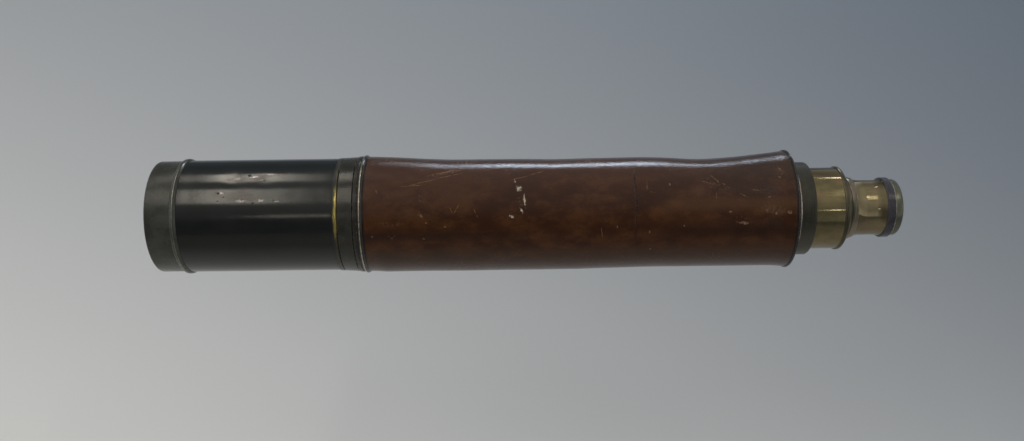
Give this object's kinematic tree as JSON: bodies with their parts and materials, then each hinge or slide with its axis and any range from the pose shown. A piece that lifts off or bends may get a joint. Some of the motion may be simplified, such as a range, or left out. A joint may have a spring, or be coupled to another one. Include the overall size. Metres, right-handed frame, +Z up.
{
  "type": "handheld draw telescope",
  "caption": "Single-draw brass telescope with a leather-covered barrel, a sliding sunshade, a screwed eyepiece and a pivoting eyepiece shutter, drawn nearly closed.",
  "frame": {"origin": "on the surface that the telescope lies on, under the middle of its length, with the sunshade closed and the draw 15.6 mm out", "axes": "+X along the optical axis from the objective to the eyepiece, +Z up"},
  "size_m": [0.4046, 0.065, 0.065],
  "materials": {
    "dark_brass": "chemically blackened brass under old lacquer, rubbed through to warm metal on the edges",
    "worn_brass": "lacquer rubbed off, bright where handled",
    "bronzed_brass": "dark olive bronzed and lacquered, darkened by age",
    "polished_brass": "polished and lacquered, tarnished olive",
    "matt_black_brass": "matt black inside finish",
    "leather": "thin smooth calf leather, dark red-brown, polished by handling and scuffed",
    "optical_glass": "polished, uncoated",
    "tin_foil": "thin foil",
    "steel": "plain, slightly oxidised"
  },
  "bodies": {
    "barrel": {"objective_cell": "dark_brass", "objective_crown": "optical_glass", "objective_flint": "optical_glass", "objective_spacers": "tin_foil", "objective_retaining_ring": "dark_brass", "objective_tube": "polished_brass", "objective_baffle": "matt_black_brass", "front_collar": "dark_brass", "leather_front_ring": "dark_brass", "main_tube": "matt_black_brass", "leather_cover": "leather", "barrel_baffle": "matt_black_brass", "rear_end_ring": "dark_brass", "draw_bush": "bronzed_brass", "draw_guide_sleeve": "matt_black_brass"},
    "sunshade": {"sunshade_front_ring": "dark_brass", "sunshade_tube": "dark_brass", "sunshade_guide_ring": "worn_brass"},
    "draw": {"draw_tube": "polished_brass", "draw_stop_ring": "matt_black_brass", "draw_end_ring": "bronzed_brass", "eyepiece_mount": "bronzed_brass", "eyepiece_barrel": "polished_brass", "erector_tube": "polished_brass", "erector_front_lens_cell": "polished_brass", "erector_front_lens": "optical_glass", "erector_stop": "matt_black_brass", "erector_rear_lens_cell": "polished_brass", "erector_rear_lens": "optical_glass", "field_lens_cell": "polished_brass", "field_lens": "optical_glass", "field_stop": "matt_black_brass", "eye_lens_cell": "matt_black_brass", "eye_lens": "optical_glass", "eye_lens_retainer": "polished_brass", "eye_cap_ring": "dark_brass", "eye_cap": "bronzed_brass", "shutter_pivot_screw": "steel", "shutter_washer": "steel"},
    "shutter": {"eye_shutter": "bronzed_brass", "shutter_knob": "polished_brass"}
  },
  "joints": [
    {"name": "sunshade_slide", "type": "slide", "parent": "barrel", "child": "sunshade", "axis": [-1, 0, 0], "range_m": [0, 0.0875]},
    {"name": "draw_slide", "type": "slide", "parent": "barrel", "child": "draw", "axis": [1, 0, 0], "range_m": [-0.0155, 0.15]},
    {"name": "eye_shutter_swing", "type": "hinge", "parent": "draw", "child": "shutter", "pos_m": [0.19865, 0, 0.0405], "axis": [-1, 0, 0], "range_deg": [0, 52]}
  ]
}
